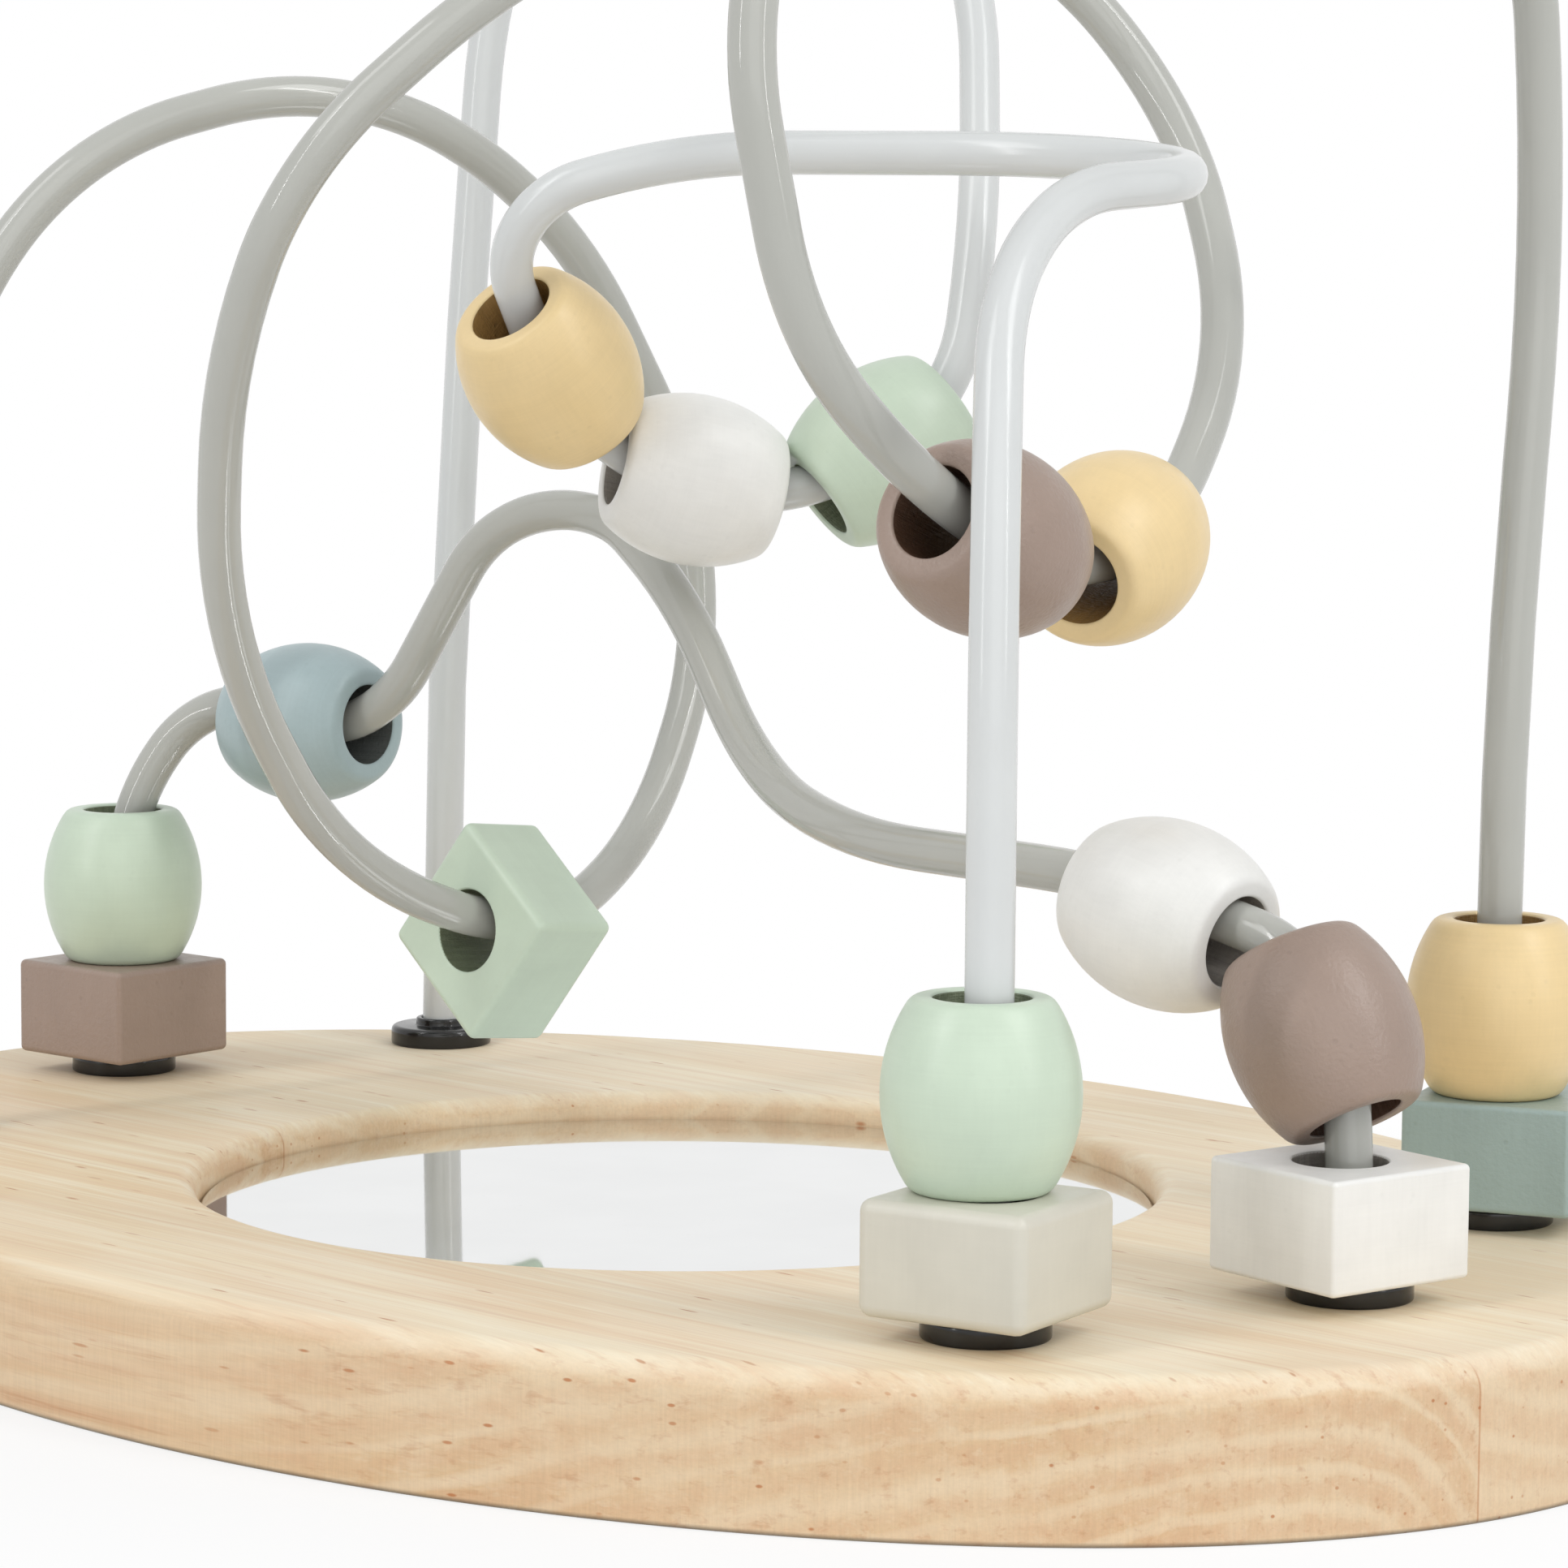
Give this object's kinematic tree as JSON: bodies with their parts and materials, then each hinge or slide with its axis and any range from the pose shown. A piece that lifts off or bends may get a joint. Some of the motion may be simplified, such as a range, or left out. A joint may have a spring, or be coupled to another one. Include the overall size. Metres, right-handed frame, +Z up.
{
  "type": "bead maze",
  "caption": "Bead maze: an oval wooden board with a round mirror, and bent wire tracks on it that painted wooden beads and blocks slide along.",
  "frame": {"origin": "middle of the board's underside", "axes": "+Z up, +X along the board's long axis towards the wave wire's front post, +Y towards the back"},
  "size_m": [0.308, 0.21, 0.2331],
  "materials": {
    "pine": "bare pale softwood, sanded",
    "mirror_glass": "mirror",
    "grommet": "satin black",
    "wire_white": "gloss white enamel",
    "wire_grey": "gloss grey enamel",
    "paint_mint": "satin paint on turned or sawn wood",
    "paint_yellow": "satin paint on turned or sawn wood",
    "paint_mauve": "satin paint on turned or sawn wood",
    "paint_white": "satin paint on turned or sawn wood",
    "paint_beige": "satin paint on turned or sawn wood",
    "paint_blue": "satin paint on turned or sawn wood",
    "paint_teal": "satin paint on turned or sawn wood"
  },
  "bodies": {
    "frame": {"base_board": "pine", "mirror": "mirror_glass", "grommet_white_front": "grommet", "grommet_white_back": "grommet", "grommet_spiral_right": "grommet", "grommet_spiral_left": "grommet", "grommet_wave_front": "grommet", "grommet_wave_back": "grommet", "wire_white": "wire_white", "wire_spiral": "wire_grey", "wire_wave": "wire_grey"},
    "block_beige": {"block_beige": "paint_beige"},
    "bead_mint_front": {"bead_mint_front": "paint_mint"},
    "bead_yellow_loop": {"bead_yellow_loop": "paint_yellow"},
    "bead_white_loop": {"bead_white_loop": "paint_white"},
    "bead_mint_loop": {"bead_mint_loop": "paint_mint"},
    "block_teal": {"block_teal": "paint_teal"},
    "bead_yellow_post": {"bead_yellow_post": "paint_yellow"},
    "bead_brown_spiral": {"bead_brown_spiral": "paint_mauve"},
    "bead_yellow_spiral": {"bead_yellow_spiral": "paint_yellow"},
    "block_mint_spiral": {"block_mint_spiral": "paint_mint"},
    "block_brown": {"block_brown": "paint_mauve"},
    "bead_mint_post": {"bead_mint_post": "paint_mint"},
    "bead_blue_wave": {"bead_blue_wave": "paint_blue"},
    "bead_white_wave": {"bead_white_wave": "paint_white"},
    "bead_brown_wave": {"bead_brown_wave": "paint_mauve"},
    "block_white": {"block_white": "paint_white"}
  },
  "joints": [
    {"name": "block_beige_slide", "type": "slide", "parent": "frame", "child": "block_beige", "axis": [0, 0, 1], "range_m": [0, 0.02]},
    {"name": "bead_mint_front_slide", "type": "slide", "parent": "block_beige", "child": "bead_mint_front", "axis": [0, 0, 1], "range_m": [0, 0.03]},
    {"name": "bead_yellow_loop_swing", "type": "hinge", "parent": "frame", "child": "bead_yellow_loop", "pos_m": [0.00683, 0.01126, 0.14202], "axis": [-0.5418, 0.6324, 0.5537], "range_deg": [0, 12]},
    {"name": "bead_white_loop_spin", "type": "hinge", "parent": "frame", "child": "bead_white_loop", "pos_m": [-0.01434, 0.01671, 0.11591], "axis": [0.5069, 0.8344, -0.2164], "continuous": true},
    {"name": "bead_mint_loop_spin", "type": "hinge", "parent": "frame", "child": "bead_mint_loop", "pos_m": [-0.00017, 0.0409, 0.11983], "axis": [0.3777, 0.7219, 0.5799], "continuous": true},
    {"name": "block_teal_slide", "type": "slide", "parent": "frame", "child": "block_teal", "axis": [0, 0, 1], "range_m": [0, 0.02]},
    {"name": "bead_yellow_post_slide", "type": "slide", "parent": "block_teal", "child": "bead_yellow_post", "axis": [0, 0, 1], "range_m": [0, 0.03]},
    {"name": "bead_brown_spiral_swing", "type": "hinge", "parent": "frame", "child": "bead_brown_spiral", "pos_m": [0.05232, -0.00448, 0.16295], "axis": [-0.8935, -0.2394, -0.3798], "range_deg": [0, 30]},
    {"name": "bead_yellow_spiral_slide", "type": "slide", "parent": "frame", "child": "bead_yellow_spiral", "axis": [-0.2575, 0.9158, 0.3081], "range_m": [0, 0.016]},
    {"name": "block_mint_spiral_swing", "type": "hinge", "parent": "frame", "child": "block_mint_spiral", "pos_m": [-0.06175, 0.01295, 0.08352], "axis": [0.8985, 0.0352, 0.4376], "range_deg": [-28, 45]},
    {"name": "block_brown_spin", "type": "hinge", "parent": "frame", "child": "block_brown", "pos_m": [-0.123, 0, 0.0302], "axis": [0, 0, 1], "continuous": true},
    {"name": "bead_mint_post_swing", "type": "hinge", "parent": "frame", "child": "bead_mint_post", "pos_m": [-0.0995, 0.02742, 0.04925], "axis": [-0.7593, 0.6508, 0], "range_deg": [0, 12]},
    {"name": "bead_blue_wave_slide", "type": "slide", "parent": "frame", "child": "bead_blue_wave", "axis": [-0.985, -0.1695, -0.0339], "range_m": [0, 0.004]},
    {"name": "bead_white_wave_slide", "type": "slide", "parent": "frame", "child": "bead_white_wave", "axis": [-0.9779, -0.0118, 0.2086], "range_m": [0, 0.014]},
    {"name": "bead_brown_wave_spin", "type": "hinge", "parent": "frame", "child": "bead_brown_wave", "pos_m": [0.11307, 0.00111, 0.05249], "axis": [0.5058, -0.0417, -0.8617], "continuous": true},
    {"name": "block_white_spin", "type": "hinge", "parent": "frame", "child": "block_white", "pos_m": [0.11795, -0.00105, 0.0302], "axis": [0, 0, 1], "continuous": true}
  ]
}
